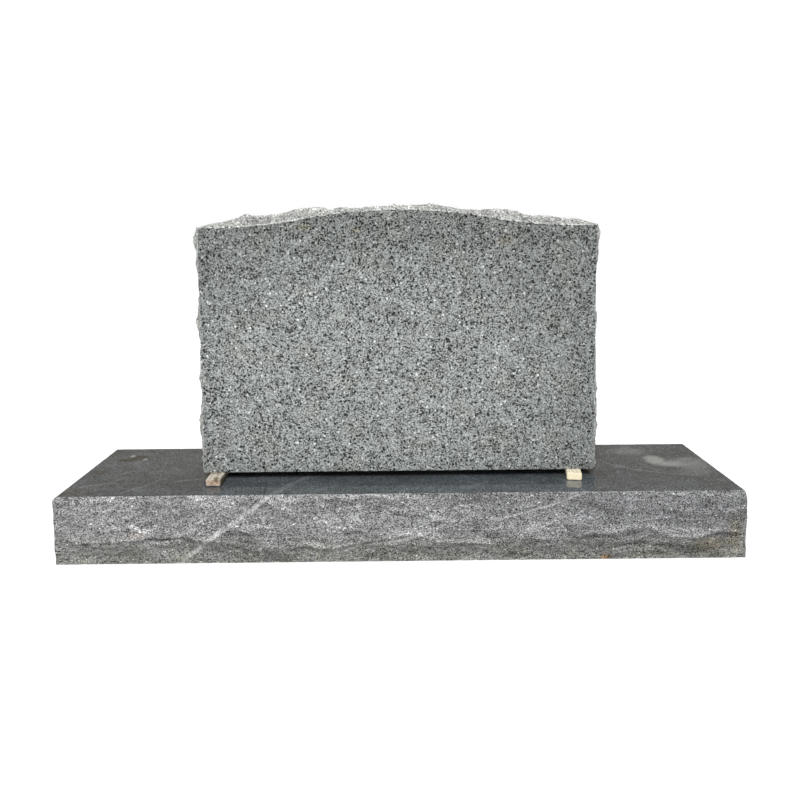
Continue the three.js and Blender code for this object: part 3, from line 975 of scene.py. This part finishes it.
def tintSpots(tree, point, color, spots):
    for middle, across, ragged, shade in spots:
        color = tint(tree, blot(tree, point, middle, across, ragged), color, shade)
    return color


def relief(tree, up, down):
    # the proud places are paler, as bruised stone, and the hollow ones darker, which is painted shade
    proud = attribute(tree, "proud")
    return remap(tree, proud, 0.1, 2.2, 0.0, up), remap(tree, proud, -2.5, -0.1, -down, 0.0)


def patchy(tree, point, name, size, strength):
    # an attribute that shows in some places only
    seen = remap(tree, noise(tree, point, size, 3.0), 0.42, 0.6, 0.0, strength)
    return product(tree, attribute(tree, name), seen)


def splinters(tree, point, grains):
    return total(tree, grains["Grain"], noise(tree, point, 2.2, 3.0))


def polishedUpright(kind):
    material, tree, point, grains = newGranite("upright_polished", kind)
    # painted light: the faces darken away from the pool's middle, as a falloff of the light
    cloud = blot(tree, point, *kind["paintedLightPool"])
    color = brighten(tree, grains["Color"], remap(tree, cloud, 0, 1, kind["elsewhere"], 1.0))
    color = tint(tree, remap(tree, noise(tree, point, 70, 3.0), 0.45, 0.7), color, kind["warm"])
    color = tintSpots(tree, point, color, kind["tints"])
    return dress(material, color, remap(tree, grains["Dark"], 0, 1, *kind["polish"]))


def brokenUpright(kind):
    material, tree, point, grains = newGranite("upright_broken", kind)
    color = mixColor(tree, kind["dusty"], grains["Color"], kind["dust"])
    paleEdge = patchy(tree, point, "edge", 12, kind["paleEdge"])
    # the relief paints shade into the hollow places
    shade = total(tree, kind["broken"], paleEdge, *relief(tree, *kind["relief"]))
    color = tint(tree, 1.0, brighten(tree, color, shade), kind["brokenTint"])
    return dress(material, color, kind["rough"], splinters(tree, point, grains), kind["bump"])


def sawnStone(name, kind):
    # an underside, with the fine lines that the saw left
    material, tree, point, grains = newGranite(name, kind)
    color = mixColor(tree, sawn["pale"], grains["Color"], sawn["grey"])
    lines = noise(tree, vector(tree, "MULTIPLY", point, (0.02, 1, 1)), sawn["lines"], 2.0)
    return dress(material, color, sawn["rough"], lines, sawn["bump"])


def polishedBase(kind):
    material, tree, point, grains = newGranite("base_polished", kind, kind["polished"])
    cloud = noise(tree, vector(tree, "MULTIPLY", point, (0.35, 1, 1)), 60, 5.0, 0.62)
    cloud = remap(tree, cloud, 0.3, 0.72, *kind["cloud"])
    flow = noise(tree, vector(tree, "MULTIPLY", point, (0.5, 1, 1)), 150, 4.0, 0.55)
    flow = calc(tree, "ABSOLUTE", calc(tree, "SUBTRACT", flow, 0.5))
    thread = remap(tree, flow, 0.0, 0.02, kind["thread"], 0.0)
    thread = product(tree, thread, remap(tree, noise(tree, point, 90, 3.0), 0.4, 0.62))
    color = brighten(tree, grains["Color"], total(tree, cloud, thread))
    color = tintSpots(tree, point, color, kind["blotches"])
    color = addVeins(tree, point, color, kind["veins"], kind["polishedVein"])
    color = addVeins(tree, point, color, asVeins(kind["lines"], base["height"]), kind["line"])
    mottled = remap(tree, noise(tree, point, 9, 4.0, 0.65), 0.38, 0.62, 0.6, 1.0)
    for (x, y), (wide, deep), ragged, strength in kind["smudges"]:
        mask = blot(tree, point, (x, y, base["height"]), (wide, deep, 40), ragged)
        color = mixColor(tree, product(tree, mask, mottled, strength), color, kind["smudge"])
    return dress(material, color, remap(tree, noise(tree, point, 60, 3.0), 0.3, 0.7, *kind["polish"]))


def brokenBase(kind):
    material, tree, point, grains = newGranite("base_broken", kind, drawn=kind["drawn"])
    long, high, strength = kind["bedding"]
    streak = placeGroup(tree, "bedding", {"Point": point, "Long": long, "High": high})["Streak"]
    # relief paints shade into the hollows; along the ridge, lip paints a highlight with paler bruised stone
    # and under paints a shadow line below it; edge is paler bruised stone along the arrises
    parts = [product(tree, streak, strength), *relief(tree, *kind["relief"])]
    for name, size in (("lip", 22), ("under", 26), ("edge", 15)):
        parts.append(patchy(tree, point, name, size, kind["along"][name]))
    speckled = remap(tree, noise(tree, point, 4, 2.0), 0.35, 0.6, 0.6, 1.35)
    # the pale marks are paler stone and painted highlights on the ridges; the dark marks are mostly painted
    # shade under them
    parts.append(product(tree, attribute(tree, "pale"), speckled))
    parts.append(product(tree, attribute(tree, "dark"), kind["darkMarks"]))
    shade = calc(tree, "MAXIMUM", total(tree, kind["broken"], *parts), kind["darkest"])
    color = brighten(tree, grains["Color"], shade)
    color = addVeins(tree, point, color, kind["veins"], kind["brokenVein"])
    color = tintSpots(tree, point, color, kind["tints"])
    # painted shade: darker and yellow-green towards the bottom of the broken sides
    height = vector(tree, "DOT_PRODUCT", point, (0, 0, 1))
    low = remap(tree, height, 0.0, kind["lowShadeTop"] * mm, 1.0, 0.0)
    lowShade = product(tree, low, remap(tree, noise(tree, point, 45, 4.0), 0.35, 0.6, 0.4, 1.0))
    color = tint(tree, lowShade, color, kind["lowShade"])
    return dress(material, color, kind["rough"], splinters(tree, point, grains), kind["bump"])


woods = {
    # fresh is early wood, late is the darker late wood, end is what the end faces' colour is multiplied by:
    # on the weathered stick the end grain's own colour, on the clean stick a painted highlight on its lit end
    "weathered": {"fresh": (0.6, 0.56, 0.47), "late": (0.28, 0.23, 0.17), "end": (0.99, 0.84, 0.77),
                  "ring": 4, "dirt": 0.75},
    "clean": {"fresh": (0.86, 0.78, 0.6), "late": (0.62, 0.5, 0.34), "end": (1.2, 1.18, 1.13),
              "ring": 3.5, "dirt": 0.12},
    # the colour of dirt, also used for the painted shade on the weathered stick's side
    "dirtAndShadeTone": (0.3, 0.25, 0.17),
    "rough": 0.75,
    "bump": (0.5, 0.5),
    # spots on the weathered stick: middle, half its size, raggedness. The first is a soiled spot; the second
    # is painted shade down the stick's right side
    "dirtAndShadeSpots": [((-421, -118, 167), (12, 14, 9), 1.3), ((-411, -95, 160), (4, 60, 14), 0.3)],
}


def woodMaterial(name, one, dirtAndShadeSpots):
    material, tree = newMaterial(name + "_wood")
    point = spotOf(tree)
    given = {"Point": point, "Ring": one["ring"] * mm, "Fresh": (*one["fresh"], 1), "Late": (*one["late"], 1)}
    wood = placeGroup(tree, "softwood", given)
    normal = addNode(tree, "NewGeometry").outputs["Normal"]
    # the end faces take the end colour: end grain on the weathered stick, a painted highlight on the clean
    # one
    facing = vector(tree, "DOT_PRODUCT", normal, (0, 1, 0))
    endGrainAndLitEnd = remap(tree, calc(tree, "ABSOLUTE", facing), 0.6, 0.85)
    color = tint(tree, endGrainAndLitEnd, wood["Color"], one["end"])
    dirt = remap(tree, noise(tree, vector(tree, "MULTIPLY", point, (1, 0.4, 1)), 9, 4.0, 0.65), 0.48, 0.68)
    color = tint(tree, product(tree, dirt, one["dirt"]), color, woods["dirtAndShadeTone"])
    # a soiled spot, and painted shade down the weathered stick's right side
    color = tintSpots(tree, point, color, [(*spot, woods["dirtAndShadeTone"]) for spot in dirtAndShadeSpots])
    return dress(material, color, woods["rough"], wood["Height"], woods["bump"])


def layDown(points):
    # the base's outline lies level, and its depth is measured down from its top
    return points * [1, 1, -1] + [0, 0, base["height"]]


def standUp(points):
    # the upright stone's outline stands, and its depth is measured back from its front
    foot = base["height"] + sticks["thickness"] + 2 * sticks["gap"]
    return points[:, [0, 2, 1]] + [stone["shift"], -stone["cut"]["thickness"] / 2, foot]


def makeStones():
    loop, around = baseLoop()
    piece = brokenBlock("base_stone", loop, around, base["cut"], layDown, base["marks"])
    finishPiece(piece, "base",
                [polishedBase(baseGranite), brokenBase(baseGranite), sawnStone("base_sawn", baseGranite)])
    loop, around = stoneLoop()
    piece = brokenBlock("upright_tablet", loop, around, stone["cut"], standUp, {})
    finishPiece(piece, "upright_stone",
                [polishedUpright(uprightGranite), brokenUpright(uprightGranite),
                 sawnStone("upright_sawn", uprightGranite)])


def makeSticks():
    for side, wood, dirtAndShadeSpots in (("left", "weathered", woods["dirtAndShadeSpots"]), ("right", "clean", [])):
        piece = stickMesh("stick_" + wood, sticks[side])
        finishPiece(piece, "stick_" + side, [woodMaterial(wood, woods[wood], dirtAndShadeSpots)])


makeCamera()
for build in (buildGranite, buildVein, buildBedding, buildBlot, buildWood):
    build()
makeFloor()
makeLight()
print("camera, floor and light are set")

makeStones()
print("both stones are cut")
makeSticks()
print("the sticks are under the upright stone")
